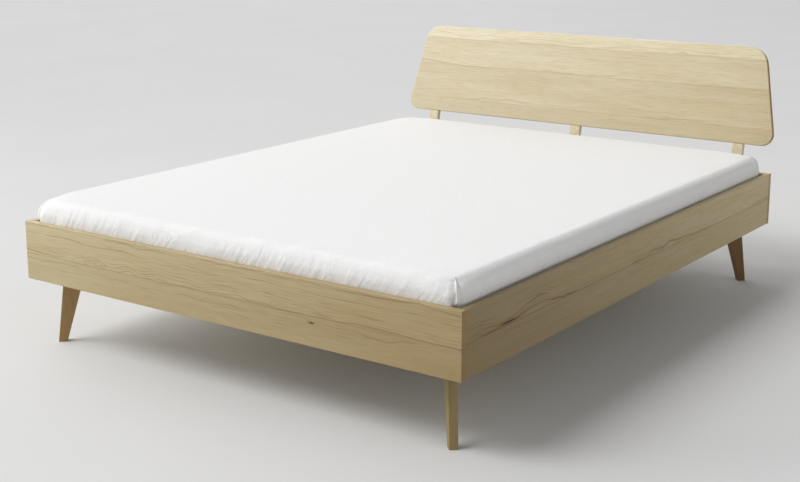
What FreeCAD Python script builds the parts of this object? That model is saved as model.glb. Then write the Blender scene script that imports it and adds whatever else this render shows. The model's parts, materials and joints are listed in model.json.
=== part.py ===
import FreeCAD
import Part
import math
import os

# A double bed in solid pine for a 160 by 200 cm mattress, in millimetres.
# The origin is on the floor, under the foot at the middle of the frame.
# +X points to the right side of somebody who stands at the foot end and looks at the headboard,
# +Y points to the head end, and +Z points up.

# Board frame
frame_width = 1640.0
frame_length = 2080.0
rail_height = 187.0
rail_underside = 213.0
board_thickness = 20.0
board_edge_radius = 2.0

# Legs: tapered planks that stand on the diagonals of the corners and splay outwards.
# A reach is the distance from the frame's corner, measured along the diagonal.
leg_thickness = 25.0
leg_foot_reach = 84.0
leg_foot_width = 28.0
leg_top_reach = 110.0
leg_top_width = 64.0
leg_edge_radius = 2.5
leg_head_gap = 3.0

# Corner blocks, which join the boards and carry the legs
block_length = 125.0
block_wing = 38.0
block_recess = 4.0

# Slatted base
slat_drop = 95.0
slat_count = 16
slat_width = 70.0
slat_thickness = 20.0
slat_edge_bevel = 2.5
slat_side_gap = 4.0
slat_end_gap = 15.0
tape_width = 25.0
tape_thickness = 1.0
tape_inset = 200.0

# Ledges along the side rails
ledge_width = 30.0
ledge_height = 40.0
ledge_end_gap = 5.0
ledge_screw_count = 5
ledge_screw_margin = 60.0

# Centre beam with its two steel shoes and its foot
beam_width = 45.0
beam_end_gap = 1.0
shoe_thickness = 2.5
shoe_length = 40.0
shoe_height = 50.0
shoe_flange = 22.0
foot_top_width = 45.0
foot_bottom_width = 36.0
foot_edge_radius = 3.0
stud_radius = 4.0
stud_length = 95.0

# Headboard: a trapezoid panel that leans back, on three cranked posts
headboard_tilt = 10.0
panel_side_taper = 73.0
panel_height = 361.0
panel_thickness = 20.0
panel_top_corner_radius = 75.0
panel_bottom_corner_radius = 42.0
panel_edge_radius = 4.0
panel_rise = 43.0
post_width = 40.0
post_inset = 138.0
post_bend_rise = 54.0
post_foot_rise = 12.0
lap_length = 210.0
lap_depth = 10.0
lap_screw_shares = (0.25, 0.75)

# Mattress in its fitted sheet
mattress_height = 170.0
mattress_side_gap = 5.0
mattress_foot_gap = 2.0
mattress_head_gap = 26.0
mattress_corner_radius = 36.0
mattress_edge_radius = 28.0
mattress_hem_radius = 14.0
mattress_bulge = 3.0
mattress_crown = 4.0
mattress_crown_reach = 520.0
crown_shares = (0.35, 1.0)
sheet_thickness = 1.5
sheet_hem = 120.0

# Chords in a quarter turn of each kind of round edge and corner
corner_chord_count = 6
rim_chord_count = 3
hem_chord_count = 2
edge_chord_count = 2

# Fasteners
fastener_clearance = 0.15
bolt_radius = 3.0
bolt_length = 50.0
bolt_head_radius = 8.0
bolt_head_height = 3.0
bolt_socket_width = 4.0
bolt_socket_depth = 2.0
bolt_spacing = 34.0
insert_radius = 5.0
insert_length = 13.0
coach_screw_radius = 4.0
coach_screw_length = 100.0
coach_head_width = 13.0
coach_head_height = 5.5
coach_screw_spacing = 34.0
wood_screw_radius = 2.0
wood_screw_head_radius = 4.2
wood_screw_head_depth = 2.8
wood_screw_bite = 14.0
wood_screw_tip = 4.0
post_screw_radius = 3.0
post_screw_head_radius = 6.0
post_screw_head_depth = 4.0
post_screw_margin = 40.0
dowel_radius = 4.0
dowel_length = 32.0
dowel_board_share = 0.6
dowel_height_shares = (0.55, 0.85)
hole_bottom_gap = 1.0
screw_point_share = 0.2
shank_side_count = 8
overrun = 5.0

# Levels and half sizes that follow from the sizes above
half_width = frame_width / 2
half_length = frame_length / 2
inner_half_width = half_width - board_thickness
inner_half_length = half_length - board_thickness
rail_top = rail_underside + rail_height
slat_top = rail_top - slat_drop
slat_bottom = slat_top - slat_thickness
block_bottom = rail_underside + block_recess
block_height = slat_bottom - block_bottom
block_middle = block_bottom + block_height / 2
corner_diagonal = board_thickness * math.sqrt(2)
block_face_reach = leg_top_reach - corner_diagonal
block_shoulder = block_face_reach * math.sqrt(2) - block_wing
mattress_width = 2 * (inner_half_width - mattress_side_gap)
mattress_length = 2 * inner_half_length - mattress_foot_gap - mattress_head_gap
mattress_foot_end = mattress_foot_gap - inner_half_length
bend_height = rail_top + post_bend_rise
tilt = math.radians(headboard_tilt)
panel_bottom_width = frame_width
panel_top_width = panel_bottom_width - 2 * panel_side_taper
post_spacing = panel_bottom_width / 2 - post_inset
post_places = (-post_spacing, 0.0, post_spacing)
post_thickness = panel_thickness
ledge_reach = inner_half_length - block_length - ledge_end_gap
dowel_end = board_thickness * dowel_board_share
dowel_start = dowel_end - dowel_length

# Each corner is a pair of signs along X and Y.
corners = {
    "front_left": (-1, -1),
    "front_right": (1, -1),
    "rear_left": (-1, 1),
    "rear_right": (1, 1),
}

right = FreeCAD.Vector(1, 0, 0)
back = FreeCAD.Vector(0, 1, 0)
up = FreeCAD.Vector(0, 0, 1)


# Building helpers
def point(x, y, z):
    return FreeCAD.Vector(x, y, z)


def box(low, high):
    size = high - low
    return Part.makeBox(size.x, size.y, size.z, low)


def prism(outline, path):
    """A solid with a closed outline of points, pushed along a vector."""
    wire = Part.makePolygon(outline + outline[:1])
    return Part.Face(wire).extrude(path)


def placed(shape, place, direction):
    """A copy of a shape that was drawn along +Z from the origin, turned to a direction."""
    copy = shape.copy()
    copy.Placement = FreeCAD.Placement(place, FreeCAD.Rotation(up, direction))
    return copy


def rounded_outline(outline, radii, inset, chords):
    """Points of a convex outline, counter-clockwise, drawn in by an inset and rounded at its corners."""
    points = []
    for i in range(len(outline)):
        here = outline[i]
        before = math.atan2(here[1] - outline[i - 1][1], here[0] - outline[i - 1][0])
        following = outline[(i + 1) % len(outline)]
        after = math.atan2(following[1] - here[1], following[0] - here[0])
        turn = (after - before) % (2 * math.pi)
        reach = radii[i] / math.cos(turn / 2)
        bisector = before - math.pi / 2 + turn / 2
        centre_x = here[0] - reach * math.cos(bisector)
        centre_y = here[1] - reach * math.sin(bisector)
        for step in range(chords + 1):
            angle = before - math.pi / 2 + turn * step / chords
            radius = radii[i] - inset
            points.append((centre_x + radius * math.cos(angle), centre_y + radius * math.sin(angle)))
    return points


def rounded_rectangle(width, length, radius, chords):
    x = width / 2
    y = length / 2
    return rounded_outline([(-x, -y), (x, -y), (x, y), (-x, y)], [radius] * 4, 0, chords)


def regular_outline(radius, sides):
    """A regular polygon whose flats lie at a radius."""
    reach = radius / math.cos(math.pi / sides)
    turns = [2 * math.pi * (step + 0.5) / sides for step in range(sides)]
    return [(reach * math.cos(turn), reach * math.sin(turn)) for turn in turns]


def stack(rings):
    """A solid between rings of points that have parallel sides, closed by its first and last ring."""
    faces = []
    for lower, higher in zip(rings, rings[1:]):
        for i in range(len(lower)):
            quad = [lower[i - 1], lower[i], higher[i], higher[i - 1]]
            faces.append(Part.Face(Part.makePolygon(quad + quad[:1])))
    for ring in (rings[0], rings[-1]):
        faces.append(Part.Face(Part.makePolygon(ring + ring[:1])))
    solid = Part.Solid(Part.Shell(faces))
    if solid.Volume < 0:
        solid.reverse()
    return solid


def turned(profile):
    """A small turned form about +Z, with a few flats, from rows of radius and height."""
    rings = []
    for radius, height in profile:
        rings.append([point(x, y, height) for x, y in regular_outline(radius, shank_side_count)])
    return stack(rings)


def along_axis(shape, axis, low, high):
    """Edges of a shape that run along a row axis and whose middles lie between two corners."""
    found = []
    for edge in shape.Edges:
        start = edge.Vertexes[0].Point
        run = edge.Vertexes[-1].Point - start
        middle = start + run * 0.5
        inside = all(low[i] <= middle[i] <= high[i] for i in range(3))
        if inside and run.Length > 0 and abs(abs(run.dot(axis)) - run.Length) < run.Length / 1e6:
            found.append(edge)
    return found


def cut_all(shape, cutters):
    return shape.cut(Part.makeCompound(cutters)) if cutters else shape


# Fasteners, drawn with their driving direction along +Z and their seat at the origin
def rod(radius, start, end):
    """A shank or its hole, with a few flats in place of a true round."""
    return turned(((radius, start), (radius, end)))


def hexagon(width, start, height):
    outline = [point(x, y, start) for x, y in regular_outline(width / 2, 6)]
    return prism(outline, up * height)


def connector_bolt():
    """Flat-headed bolt with a hexagon socket, whose head lies on the wood."""
    head = rod(bolt_head_radius, -bolt_head_height, 0)
    shank = rod(bolt_radius, 0, bolt_length)
    socket = hexagon(bolt_socket_width, -bolt_head_height, bolt_socket_depth)
    return head.fuse(shank).removeSplitter().cut(socket)


def threaded_insert():
    """Sleeve that is screwed into the wood and takes the end of a bolt."""
    return rod(insert_radius, 0, insert_length).cut(rod(bolt_radius + fastener_clearance, 0, insert_length))


def coach_screw():
    head = hexagon(coach_head_width, -coach_head_height, coach_head_height)
    return head.fuse(rod(coach_screw_radius, 0, coach_screw_length))


def countersunk_screw(radius, head_radius, head_depth, length, tip, growth):
    """Wood screw whose head is flush with the wood, or its hole when it grows by a clearance."""
    return turned(
        (
            (head_radius + growth, 0),
            (radius + growth, head_depth),
            (radius + growth, length - tip + growth),
            (radius * screw_point_share + growth, length + growth),
        )
    )


def wood_screw(thickness, growth):
    """Small wood screw that passes a thickness and bites into the wood behind it."""
    length = thickness + wood_screw_bite
    sizes = (wood_screw_radius, wood_screw_head_radius, wood_screw_head_depth, length, wood_screw_tip)
    return countersunk_screw(*sizes, growth)


def post_screw(growth):
    length = post_thickness + board_thickness - hole_bottom_gap - wood_screw_tip
    sizes = (post_screw_radius, post_screw_head_radius, post_screw_head_depth, length, wood_screw_tip)
    return countersunk_screw(*sizes, growth)


# Places and directions that a fastener shares with its holes
def block_point(side, end, across, along, height):
    """A point counted from the inner corner of the boards, inwards along X and along Y."""
    return point(side * (inner_half_width - across), end * (inner_half_length - along), height)


def pair(middle, spacing):
    return (middle - spacing / 2, middle + spacing / 2)


def rail_bolt_places():
    """Bolts through the wing of each block into the side rail."""
    reach = (block_shoulder + block_length) / 2
    places = []
    for side, end in corners.values():
        for height in pair(block_middle, bolt_spacing):
            places.append((block_point(side, end, block_wing, reach, height), right * side))
    return places


def board_bolt_places():
    """Bolts through the other wing of each block into the foot board or the head board rail."""
    reach = (block_shoulder + block_length) / 2
    places = []
    for side, end in corners.values():
        places.append((block_point(side, end, reach, block_wing, block_middle), back * end))
    return places


def leg_screw_places():
    """Coach screws through the width of each leg, along the diagonal, into the block."""
    reach = leg_top_reach + leg_top_width
    step = reach / math.sqrt(2)
    places = []
    for side, end in corners.values():
        outward = point(side, end, 0).normalize()
        for height in pair(block_middle, coach_screw_spacing):
            start = point(side * (half_width - step), end * (half_length - step), height)
            places.append((start, outward))
    return places


def dowel_places():
    """Dowels across the butt joints, given at the joint and pointing into the end board."""
    places = []
    for side, end in corners.values():
        for share in dowel_height_shares:
            height = rail_underside + rail_height * share
            middle = half_width - board_thickness / 2
            places.append((point(side * middle, end * inner_half_length, height), back * end))
    return places


def ledge_screw_places(side):
    reach = ledge_reach - ledge_screw_margin
    step = 2 * reach / (ledge_screw_count - 1)
    height = slat_bottom - ledge_height / 2
    face = side * (inner_half_width - ledge_width)
    return [(point(face, -reach + step * i, height), right * side) for i in range(ledge_screw_count)]


def post_screw_places(place):
    low = rail_underside + post_foot_rise + post_screw_margin
    high = rail_top - post_screw_margin
    face = half_length + post_thickness
    return [(point(place, face, height), -back) for height in (low, high)]


def shoe_screw_places(end):
    reach = beam_width / 2 + shoe_thickness + shoe_flange / 2
    height = block_bottom + shoe_height / 2
    face = end * (inner_half_length - shoe_thickness)
    return [(point(side * reach, face, height), back * end) for side in (-1, 1)]


def holes_for(places, cutter):
    return [placed(cutter, place, direction) for place, direction in places]


# Clearance holes and blind holes
def bolt_hole():
    return rod(bolt_radius + fastener_clearance, -overrun, bolt_length + hole_bottom_gap)


def insert_hole():
    depth = block_wing + insert_length
    return rod(insert_radius + fastener_clearance, block_wing, depth + hole_bottom_gap)


def coach_hole():
    return rod(coach_screw_radius + fastener_clearance, -overrun, coach_screw_length + hole_bottom_gap)


def dowel_hole():
    radius = dowel_radius + fastener_clearance
    return rod(radius, dowel_start - hole_bottom_gap, dowel_end + hole_bottom_gap)


# Board frame
def end_board(end):
    """Full-width board at the foot end or the head end, with its outer edges eased."""
    outer = end * half_length
    inner = end * inner_half_length
    low = point(-half_width, min(outer, inner), rail_underside)
    high = point(half_width, max(outer, inner), rail_top)
    board = box(low, high)
    edges = along_axis(board, right, low, high)
    outer_low = point(low.x, outer, low.z)
    outer_high = point(high.x, outer, high.z)
    edges += along_axis(board, up, outer_low, outer_high)
    board = board.makeFillet(board_edge_radius, edges)
    cutters = holes_for(board_bolt_places(), insert_hole())
    cutters += holes_for(dowel_places(), dowel_hole())
    cutters += holes_for(shoe_screw_places(end), wood_screw(shoe_thickness, fastener_clearance))
    if end > 0:
        for place in post_places:
            cutters += holes_for(post_screw_places(place), post_screw(fastener_clearance))
    return cut_all(board, cutters)


def side_rail(side):
    """Board between the two end boards."""
    outer = side * half_width
    inner = side * inner_half_width
    low = point(min(outer, inner), -inner_half_length, rail_underside)
    high = point(max(outer, inner), inner_half_length, rail_top)
    rail = box(low, high)
    rail = rail.makeFillet(board_edge_radius, along_axis(rail, back, low, high))
    cutters = holes_for(rail_bolt_places(), insert_hole())
    cutters += holes_for(dowel_places(), dowel_hole())
    cutters += holes_for(ledge_screw_places(side), wood_screw(ledge_width, fastener_clearance))
    return cut_all(rail, cutters)


def corner_block(side, end):
    """Block with a wing along each board and a face across the corner that carries the leg."""
    steps = (
        (0, 0),
        (block_length, 0),
        (block_length, block_wing),
        (block_shoulder, block_wing),
        (block_wing, block_shoulder),
        (block_wing, block_length),
        (0, block_length),
    )
    outline = [block_point(side, end, across, along, block_bottom) for across, along in steps]
    block = prism(outline, up * block_height)
    cutters = holes_for(rail_bolt_places() + board_bolt_places(), bolt_hole())
    cutters += holes_for(leg_screw_places(), coach_hole())
    return cut_all(block, cutters)


def leg(side, end):
    """Tapered plank on the diagonal, with a straight top that is screwed to the block."""
    inward = point(-side, -end, 0).normalize()
    across = point(-end, side, 0).normalize()
    corner = point(side * half_width, end * half_length, 0)
    sections = (
        (leg_foot_reach, leg_foot_width, 0),
        (leg_top_reach, leg_top_width, rail_underside),
        (leg_top_reach, leg_top_width, slat_bottom - leg_head_gap),
    )
    rings = []
    for reach, width, height in sections:
        centre = corner + inward * (reach + width / 2) + up * height
        outline = rounded_rectangle(width, leg_thickness, leg_edge_radius, edge_chord_count)
        rings.append([centre + inward * x + across * y for x, y in outline])
    plank = stack(rings)
    return cut_all(plank, holes_for(leg_screw_places(), coach_hole()))


# Slatted base
def ledge(side):
    inner = side * (inner_half_width - ledge_width)
    outer = side * inner_half_width
    low = point(min(inner, outer), -ledge_reach, slat_bottom - ledge_height)
    high = point(max(inner, outer), ledge_reach, slat_bottom)
    cutters = holes_for(ledge_screw_places(side), wood_screw(ledge_width, fastener_clearance))
    return cut_all(box(low, high), cutters)


def slat_places():
    reach = inner_half_length - slat_end_gap - slat_width / 2
    step = 2 * reach / (slat_count - 1)
    return [-reach + step * i for i in range(slat_count)]


def slat(place):
    reach = inner_half_width - slat_side_gap
    low = point(-reach, place - slat_width / 2, slat_bottom)
    high = point(reach, place + slat_width / 2, slat_top)
    board = box(low, high)
    return board.makeChamfer(slat_edge_bevel, along_axis(board, right, low, high))


def slat_tape(side):
    """Webbing on the underside of the slats, which keeps them at their spacing."""
    middle = side * (inner_half_width - tape_inset)
    places = slat_places()
    low = point(middle - tape_width / 2, places[0] - slat_width / 2, slat_bottom - tape_thickness)
    high = point(middle + tape_width / 2, places[-1] + slat_width / 2, slat_bottom)
    return box(low, high)


# Centre beam
def centre_beam():
    reach = inner_half_length - beam_end_gap
    low = point(-beam_width / 2, -reach, block_bottom)
    high = point(beam_width / 2, reach, slat_bottom)
    return box(low, high).cut(centre_stud(fastener_clearance))


def centre_stud(growth):
    """Threaded stud that holds the foot to the beam, half in each."""
    reach = stud_length / 2
    return rod(stud_radius + growth, block_bottom - reach - growth, block_bottom + reach + growth)


def centre_foot():
    """Square tapered foot under the middle of the beam."""
    rings = []
    for width, height in ((foot_bottom_width, 0), (foot_top_width, block_bottom)):
        outline = rounded_rectangle(width, width, foot_edge_radius, edge_chord_count)
        rings.append([point(x, y, height) for x, y in outline])
    return stack(rings).cut(centre_stud(fastener_clearance))


def beam_shoe(end):
    """Bent steel shoe: a floor and two cheeks round the beam, and two flanges on the board."""
    half_beam = beam_width / 2
    half_shoe = half_beam + shoe_thickness
    wall = end * inner_half_length
    front = end * (inner_half_length - shoe_length)
    seat = block_bottom - shoe_thickness
    top = seat + shoe_height
    near = min(wall, front)
    far = max(wall, front)
    shoe = box(point(-half_shoe, near, seat), point(half_shoe, far, block_bottom))
    flange_near = min(wall, wall - end * shoe_thickness)
    flange_far = max(wall, wall - end * shoe_thickness)
    for side in (-1, 1):
        cheek = sorted((side * half_beam, side * half_shoe))
        shoe = shoe.fuse(box(point(cheek[0], near, seat), point(cheek[1], far, top)))
        flange = sorted((side * half_beam, side * (half_shoe + shoe_flange)))
        shoe = shoe.fuse(box(point(flange[0], flange_near, seat), point(flange[1], flange_far, top)))
    shoe = shoe.removeSplitter()
    return cut_all(shoe, holes_for(shoe_screw_places(end), wood_screw(shoe_thickness, fastener_clearance)))


# Headboard
def leaning(across, rise, depth):
    """A point of the leaning part: across the bed, up along the slope, and back from its front."""
    y = half_length + rise * math.sin(tilt) + depth * math.cos(tilt)
    z = bend_height + rise * math.cos(tilt) - depth * math.sin(tilt)
    return point(across, y, z)


def lean(shape):
    """Turns a shape that was drawn upright, with its front face on Y 0, to its leaning place."""
    shape.Placement = FreeCAD.Placement(leaning(0, 0, 0), FreeCAD.Rotation(right, -headboard_tilt))
    return shape


def headboard_panel():
    """Trapezoid board with round corners, eased edges and housings in its back for the posts."""
    bottom = panel_rise
    top = panel_rise + panel_height
    half_bottom = panel_bottom_width / 2
    half_top = panel_top_width / 2
    outline = [(-half_bottom, bottom), (half_bottom, bottom), (half_top, top), (-half_top, top)]
    radii = [panel_bottom_corner_radius] * 2 + [panel_top_corner_radius] * 2
    rows = []
    for step in range(rim_chord_count + 1):
        angle = math.radians(90 * step / rim_chord_count)
        rows.append((panel_edge_radius * (1 - math.sin(angle)), panel_edge_radius * (1 - math.cos(angle))))
    rows += [(inset, panel_thickness - depth) for inset, depth in reversed(rows)]
    rings = []
    for inset, depth in rows:
        points = rounded_outline(outline, radii, inset, corner_chord_count)
        rings.append([point(x, depth, z) for x, z in points])
    panel = stack(rings)
    cutters = []
    for place in post_places:
        low = point(place - post_width / 2, panel_thickness - lap_depth, bottom - overrun)
        high = point(place + post_width / 2, panel_thickness + overrun, bottom + lap_length)
        cutters.append(box(low, high))
        cutters += holes_for(lap_screw_places(place), lap_screw(fastener_clearance))
    return lean(cut_all(panel, cutters))


def lap_screw(growth):
    length = panel_thickness - hole_bottom_gap - wood_screw_tip / 2
    sizes = (wood_screw_radius, wood_screw_head_radius, wood_screw_head_depth, length, wood_screw_tip)
    return countersunk_screw(*sizes, growth)


def lap_screw_places(place):
    """Screws from the back through each lap, in the upright drawing of the headboard."""
    places = []
    for share in lap_screw_shares:
        places.append((point(place, panel_thickness, panel_rise + lap_length * share), -back))
    return places


def headboard_post(place):
    """Post that stands on the back of the head rail, bends back and is lapped into the panel."""
    foot = rail_underside + post_foot_rise
    left_side = place - post_width / 2
    shoulder = panel_rise
    head = panel_rise + lap_length
    bend_back = bend_height - post_thickness * math.tan(tilt / 2)
    lap_front = panel_thickness - lap_depth
    outline = [
        point(left_side, half_length, foot),
        point(left_side, half_length, bend_height),
        leaning(left_side, shoulder, 0),
        leaning(left_side, shoulder, lap_front),
        leaning(left_side, head, lap_front),
        leaning(left_side, head, post_thickness),
        point(left_side, half_length + post_thickness, bend_back),
        point(left_side, half_length + post_thickness, foot),
    ]
    post = prism(outline, right * post_width)
    cutters = holes_for(post_screw_places(place), post_screw(fastener_clearance))
    lap_holes = Part.makeCompound(holes_for(lap_screw_places(place), lap_screw(fastener_clearance)))
    return cut_all(post, cutters).cut(lean(lap_holes))


# Mattress and sheet
def cushion(shrink):
    """The mattress in its sheet, or the same form shrunk all round by the sheet's thickness."""
    width = mattress_width - 2 * shrink
    length = mattress_length - 2 * shrink
    base = slat_top + shrink
    rim = slat_top + mattress_height - mattress_crown - shrink
    middle = point(0, mattress_foot_end + mattress_length / 2, 0)
    edge_radius = mattress_edge_radius - shrink
    hem_radius = mattress_hem_radius - shrink
    radius = mattress_corner_radius - shrink
    rows = []
    for step in range(hem_chord_count + 1):
        angle = math.radians(90 * step / hem_chord_count)
        inset = mattress_bulge + hem_radius * (1 - math.sin(angle))
        rows.append((inset, base + hem_radius * (1 - math.cos(angle))))
    rows.append((0, (base + rim) / 2))
    for step in range(corner_chord_count + 1):
        angle = math.radians(90 * step / corner_chord_count)
        inset = mattress_bulge + edge_radius * (1 - math.cos(angle))
        rows.append((inset, rim - edge_radius * (1 - math.sin(angle))))
    for share in crown_shares:
        inset = mattress_bulge + edge_radius + mattress_crown_reach * share
        rows.append((inset, rim + mattress_crown * (1 - (1 - share) ** 2)))
    rings = []
    for inset, height in rows:
        outline = rounded_rectangle(width - 2 * inset, length - 2 * inset, radius, corner_chord_count)
        rings.append([middle + point(x, y, height) for x, y in outline])
    return stack(rings)


def fitted_sheet():
    """Elastic sheet stretched over the mattress, with its hem turned in beneath it."""
    middle = point(0, mattress_foot_end + mattress_length / 2, slat_top - overrun)
    open_width = mattress_width - 2 * sheet_hem
    open_length = mattress_length - 2 * sheet_hem
    outline = rounded_rectangle(open_width, open_length, mattress_corner_radius, corner_chord_count)
    opening = prism([middle + point(x, y, 0) for x, y in outline], up * (overrun + sheet_thickness))
    return cushion(0).cut(cushion(sheet_thickness)).cut(opening)


def build_nodes():
    nodes = {}
    nodes["foot_board"] = end_board(-1)
    nodes["head_board_rail"] = end_board(1)
    for side, name in ((-1, "left"), (1, "right")):
        nodes["side_rail_" + name] = side_rail(side)
        nodes["ledge_" + name] = ledge(side)
        nodes["slat_tape_" + name] = slat_tape(side)
    for name, (side, end) in corners.items():
        nodes["corner_block_" + name] = corner_block(side, end)
        nodes["leg_" + name] = leg(side, end)
    for name, place in zip(("left", "centre", "right"), post_places):
        nodes["headboard_post_" + name] = headboard_post(place)
    nodes["headboard_panel"] = headboard_panel()
    nodes["centre_beam"] = centre_beam()
    nodes["centre_foot"] = centre_foot()
    nodes["centre_foot_stud"] = centre_stud(0)
    nodes["beam_shoe_front"] = beam_shoe(-1)
    nodes["beam_shoe_rear"] = beam_shoe(1)
    for number, place in enumerate(slat_places(), 1):
        nodes["slat_%02d" % number] = slat(place)
    nodes["mattress"] = cushion(sheet_thickness)
    nodes["fitted_sheet"] = fitted_sheet()

    bolts = rail_bolt_places() + board_bolt_places()
    insert_places = [(place + direction * block_wing, direction) for place, direction in bolts]
    nodes["corner_bolts"] = Part.makeCompound(holes_for(bolts, connector_bolt()))
    nodes["corner_inserts"] = Part.makeCompound(holes_for(insert_places, threaded_insert()))
    nodes["leg_screws"] = Part.makeCompound(holes_for(leg_screw_places(), coach_screw()))
    dowel = rod(dowel_radius, dowel_start, dowel_end)
    nodes["corner_dowels"] = Part.makeCompound(holes_for(dowel_places(), dowel))
    ledge_screws = ledge_screw_places(-1) + ledge_screw_places(1)
    nodes["ledge_screws"] = Part.makeCompound(holes_for(ledge_screws, wood_screw(ledge_width, 0)))
    shoe_screws = shoe_screw_places(-1) + shoe_screw_places(1)
    nodes["beam_shoe_screws"] = Part.makeCompound(holes_for(shoe_screws, wood_screw(shoe_thickness, 0)))
    post_screws = []
    lap_screws = []
    for place in post_places:
        post_screws += holes_for(post_screw_places(place), post_screw(0))
        lap_screws += holes_for(lap_screw_places(place), lap_screw(0))
    nodes["headboard_post_screws"] = Part.makeCompound(post_screws)
    nodes["headboard_lap_screws"] = lean(Part.makeCompound(lap_screws))
    return nodes


os.makedirs("parts", exist_ok=True)
for node_name, shape in build_nodes().items():
    shape.exportStep("parts/" + node_name + ".step")
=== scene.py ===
import bisect
import json
import math
import random

import bpy
from bpy.props import FloatProperty, FloatVectorProperty, PointerProperty
from mathutils import Matrix, Vector, noise


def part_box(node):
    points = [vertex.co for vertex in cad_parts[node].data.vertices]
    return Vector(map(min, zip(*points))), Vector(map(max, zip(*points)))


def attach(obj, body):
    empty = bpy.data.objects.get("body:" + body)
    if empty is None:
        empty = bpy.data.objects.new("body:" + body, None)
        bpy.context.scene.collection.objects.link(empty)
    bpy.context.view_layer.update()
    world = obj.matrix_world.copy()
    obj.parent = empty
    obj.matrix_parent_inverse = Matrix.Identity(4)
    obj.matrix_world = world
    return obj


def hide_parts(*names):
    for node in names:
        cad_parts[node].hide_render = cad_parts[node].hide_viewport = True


bl_info = {
    "name": "Pine Bed",
    "version": (1, 0, 0),
    "blender": (4, 5, 0),
    "location": "View3D > Sidebar > Bed",
    "description": "Dresses a pine double bed, its mattress and its fitted sheet, and lights them",
    "category": "Add Mesh",
}

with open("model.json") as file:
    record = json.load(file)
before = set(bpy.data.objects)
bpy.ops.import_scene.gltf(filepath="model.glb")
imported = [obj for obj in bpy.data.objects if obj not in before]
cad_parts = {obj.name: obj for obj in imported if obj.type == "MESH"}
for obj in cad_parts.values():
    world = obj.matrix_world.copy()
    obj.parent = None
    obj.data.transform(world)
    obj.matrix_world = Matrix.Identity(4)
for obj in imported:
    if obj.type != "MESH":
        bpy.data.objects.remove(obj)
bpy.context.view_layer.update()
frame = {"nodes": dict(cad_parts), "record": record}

# Boards are glued up from staves. Glue lines are heights in metres along each board's width,
# counted from its middle.
board_glue_lines = (0.002,)
panel_glue_lines = (-0.122, 0.020, 0.130)
glue_line_reach = 0.4

# Each stave comes from another part of the log: shares of the way along it and across it
stave_shifts = ((0.35, 0.12), (0.62, 0.60), (0.18, 0.92), (0.80, 0.30))

# Brown lines above a glue line: how far above it, how wide, and how far they show
stroke_rows = (
    (0.003, 0.0024, 1.0),
    (0.010, 0.0016, 0.7),
    (0.017, 0.0022, 0.8),
    (0.026, 0.0016, 0.5),
    (0.036, 0.0022, 0.4),
)

# Where the side light stands and which way it faces, in metres
side_light_place = (-4.2, -3.6, 1.7)
side_light_aim = (4.0, 2.8, -1.3)
side_light_size = 2.8
key_light_aim = (0.55, 0.60, -1.0)

# Where the camera stands in metres, how far it looks down and how far it is turned, in degrees
camera_place = (2.57942, -3.76343, 1.41496)
camera_pitch = 12.448
camera_heading = 35.576

# Bright walls and ceiling of the studio: where each lies, how narrow it is, and its strength
studio_walls = (
    ((0, 0, 1), 3, 0.33),
    ((-1, 0, 0.3), 5, 2.54),
    ((-0.7, 0.7, 0.3), 5, 1.24),
    ((1, 0, 0.3), 5, 1.34),
)

# The taper draws a corner in within this distance of both edges and this depth below the top, in metres
taper_reach = 0.16
taper_depth = 0.075

# Places that are nearer to each other than this are one place
hair = 1e-6

white = (1, 1, 1, 1)
x_axis, y_axis, z_axis = (1, 0, 0), (0, 1, 0), (0, 0, 1)
corners = ("front_left", "front_right", "rear_left", "rear_right")


def linear(code):
    """A hex colour as it is written for screens, as the linear values that a shader takes."""
    values = [int(code[i : i + 2], 16) / 255 for i in (1, 3, 5)]
    return opaque(v / 12.92 if v <= 0.04045 else ((v + 0.055) / 1.055) ** 2.4 for v in values)


def opaque(colour):
    return tuple(colour) + (1.0,)


def fill(tree, node, links):
    """Fills or links a node's sockets by name or number."""
    for socket, source in links.items():
        if isinstance(source, bpy.types.NodeSocket):
            tree.links.new(source, node.inputs[socket])
        else:
            node.inputs[socket].default_value = source


def add(tree, kind, links=None, **settings):
    """Adds a node, sets its properties, and fills or links its sockets."""
    node = tree.nodes.new(kind)
    for name, value in settings.items():
        setattr(node, name, value)
    fill(tree, node, links or {})
    return node


def ramp(tree, factor, stops, interpolation="LINEAR"):
    """A colour ramp through rows of place and colour."""
    node = add(tree, "ShaderNodeValToRGB", {"Fac": factor})
    node.color_ramp.interpolation = interpolation
    elements = node.color_ramp.elements
    while len(elements) < len(stops):
        elements.new(1.0)
    for element, (place, colour) in zip(elements, stops):
        element.position = place
        element.color = colour
    return node.outputs["Color"]


def greys(*stops):
    """Rows of place and grey value, as a colour ramp takes them."""
    return [(place, (grey, grey, grey, 1)) for place, grey in stops]


def sums(tree, operation, first, second=0.0, third=0.0):
    """One step of arithmetic on numbers."""
    return add(tree, "ShaderNodeMath", {0: first, 1: second, 2: third}, operation=operation).outputs[0]


def hypotenuse(tree, first, second):
    squares = [sums(tree, "POWER", side, 2.0) for side in (first, second)]
    return sums(tree, "SQRT", sums(tree, "ADD", *squares))


def remap(tree, value, low, high, first=0.0, last=1.0):
    """A value's place between two bounds, as a place between two others."""
    return add(tree, "ShaderNodeMapRange", {0: value, 1: low, 2: high, 3: first, 4: last}).outputs[0]


def vector_of(tree, x, y, z=0.0):
    return add(tree, "ShaderNodeCombineXYZ", {0: x, 1: y, 2: z}).outputs[0]


def dot(tree, first, second):
    return add(tree, "ShaderNodeVectorMath", {0: first, 1: second}, operation="DOT_PRODUCT").outputs["Value"]


def dim(tree, colour, level):
    return add(tree, "ShaderNodeVectorMath", {0: colour, 3: level}, operation="SCALE").outputs[0]


def blend(tree, share, first, second, kind="MIX"):
    """Two colours, the second over the first by a share."""
    links = {"Factor": share, 6: first, 7: second}
    return add(tree, "ShaderNodeMix", links, data_type="RGBA", blend_type=kind).outputs[2]


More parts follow.
